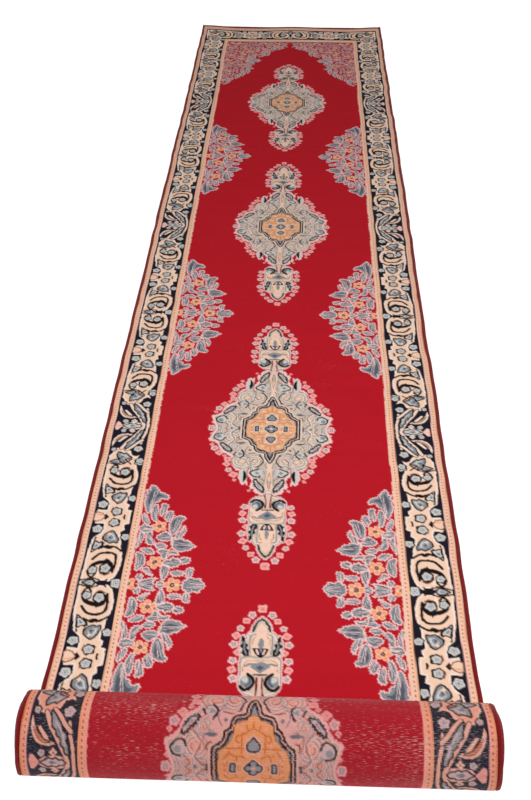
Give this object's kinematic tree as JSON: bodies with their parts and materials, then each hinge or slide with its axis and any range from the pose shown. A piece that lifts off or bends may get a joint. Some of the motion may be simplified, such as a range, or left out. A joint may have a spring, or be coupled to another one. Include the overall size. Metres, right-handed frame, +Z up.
{
  "type": "runner rug",
  "caption": "Long hand-knotted pile runner rug lying flat with one end rolled up over itself, showing the back of the weave.",
  "frame": {"origin": "on the floor, at the centre of the laid rug's outline", "axes": "+Z up, +Y along the rug towards its far, flat end, +X across the rug to the right when looking towards +Y; the rolled end is at -Y"},
  "size_m": [0.83, 3.8272, 0.145],
  "materials": {
    "ground_cotton": "plain woven cotton, natural",
    "selvedge_wool": "overcast wool yarn",
    "warp_cord": "bundled cotton warps",
    "pile_guard": "cut wool pile",
    "pile_border": "cut wool pile",
    "pile_field": "cut wool pile",
    "pile_medallion": "cut wool pile",
    "pile_spray": "cut wool pile"
  },
  "bodies": {
    "root": {"corner_spray_far_left": "pile_spray", "corner_spray_far_right": "pile_spray", "corner_spray_near_left": "pile_spray", "corner_spray_near_right": "pile_spray", "end_binding_far": "selvedge_wool", "end_binding_near": "selvedge_wool", "field_pile": "pile_field", "foundation_weave": "ground_cotton", "inner_guard_far": "pile_guard", "inner_guard_left": "pile_guard", "inner_guard_near": "pile_guard", "inner_guard_right": "pile_guard", "main_border_far": "pile_border", "main_border_left": "pile_border", "main_border_near": "pile_border", "main_border_right": "pile_border", "medallion_1": "pile_medallion", "medallion_2": "pile_medallion", "medallion_3": "pile_medallion", "medallion_4": "pile_medallion", "outer_guard_far": "pile_guard", "outer_guard_left": "pile_guard", "outer_guard_near": "pile_guard", "outer_guard_right": "pile_guard", "pendant_1_far": "pile_medallion", "pendant_1_near": "pile_medallion", "pendant_2_far": "pile_medallion", "pendant_2_near": "pile_medallion", "pendant_3_far": "pile_medallion", "pendant_3_near": "pile_medallion", "pendant_4_far": "pile_medallion", "pendant_4_near": "pile_medallion", "selvedge_core_left": "warp_cord", "selvedge_core_right": "warp_cord", "selvedge_wrap_left": "selvedge_wool", "selvedge_wrap_right": "selvedge_wool", "side_spray_1_left": "pile_spray", "side_spray_1_right": "pile_spray", "side_spray_2_left": "pile_spray", "side_spray_2_right": "pile_spray", "side_spray_3_left": "pile_spray", "side_spray_3_right": "pile_spray"}
  },
  "joints": []
}
